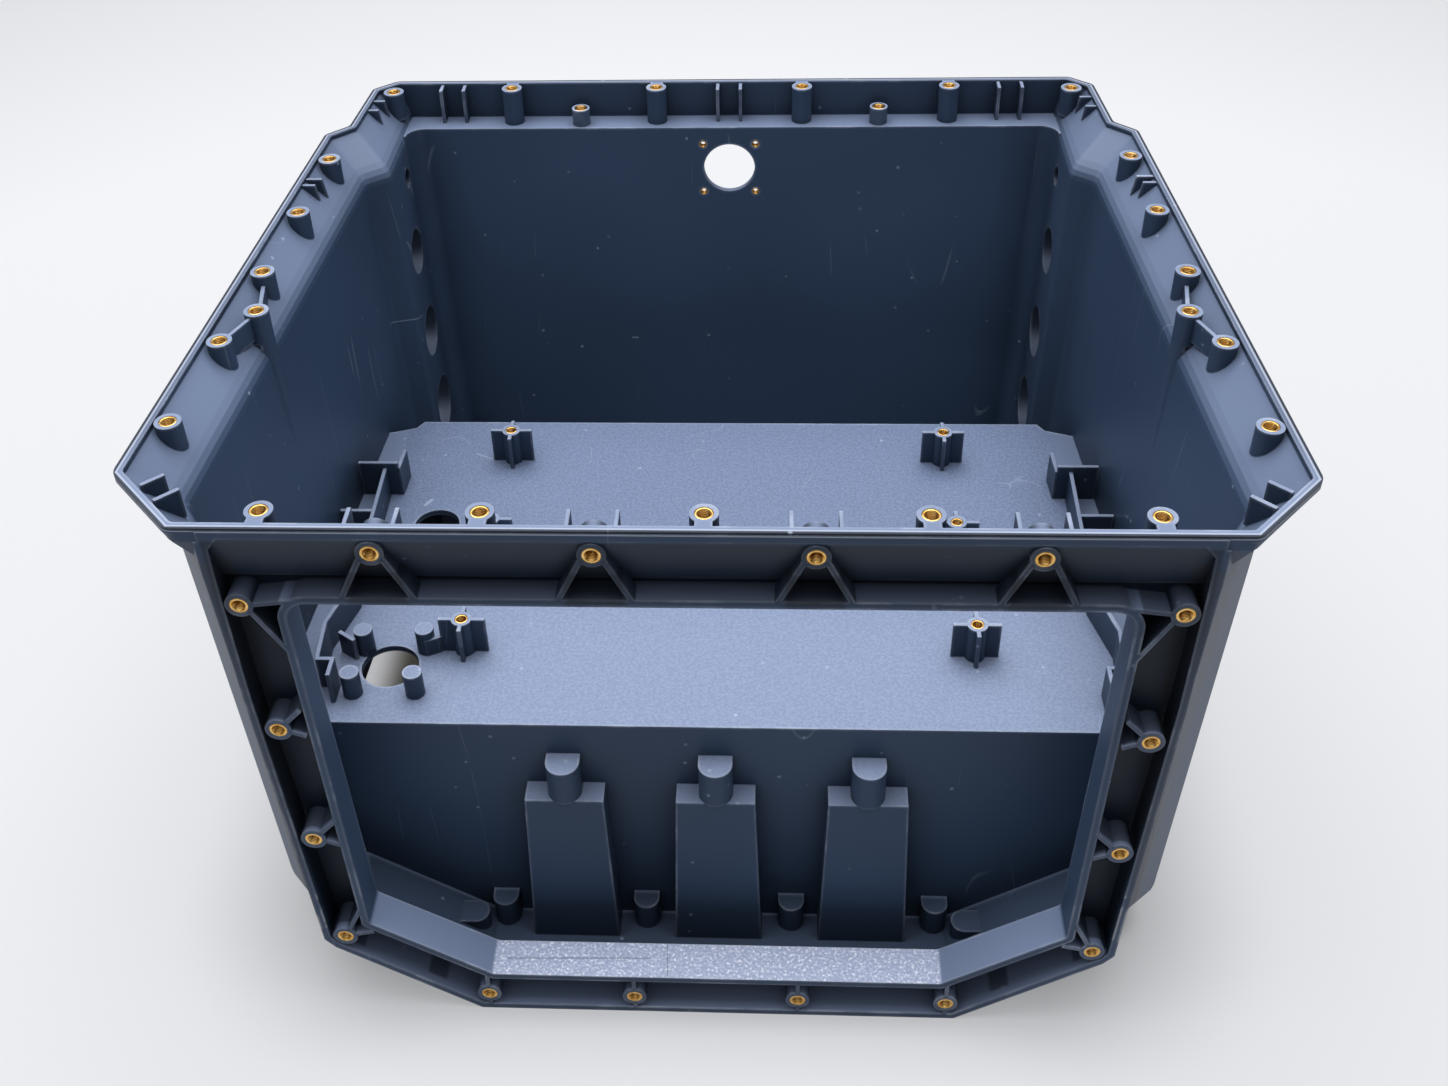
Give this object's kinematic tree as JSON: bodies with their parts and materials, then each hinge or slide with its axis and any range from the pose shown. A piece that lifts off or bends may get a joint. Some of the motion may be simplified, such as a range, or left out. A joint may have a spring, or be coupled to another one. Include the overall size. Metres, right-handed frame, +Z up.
{
  "type": "moulded housing",
  "caption": "Deep open-topped moulded plastic housing with a sloping shoulder under a screw rim, a framed front window, an inner shelf and brass threaded inserts.",
  "frame": {"origin": "bottom centre of the housing's bounding box", "axes": "+X to the right seen from the front window, +Y to the back, +Z up out of the open top"},
  "size_m": [0.4372, 0.3784, 0.2773],
  "materials": {
    "plastic": "satin dark slate blue with fine texture",
    "brass": "turned brass, threaded inside"
  },
  "bodies": {
    "root": {"housing": "plastic", "rim_inserts": "brass", "ledge_inserts": "brass", "flange_inserts": "brass", "shelf_inserts": "brass", "vent_inserts": "brass"}
  },
  "joints": []
}
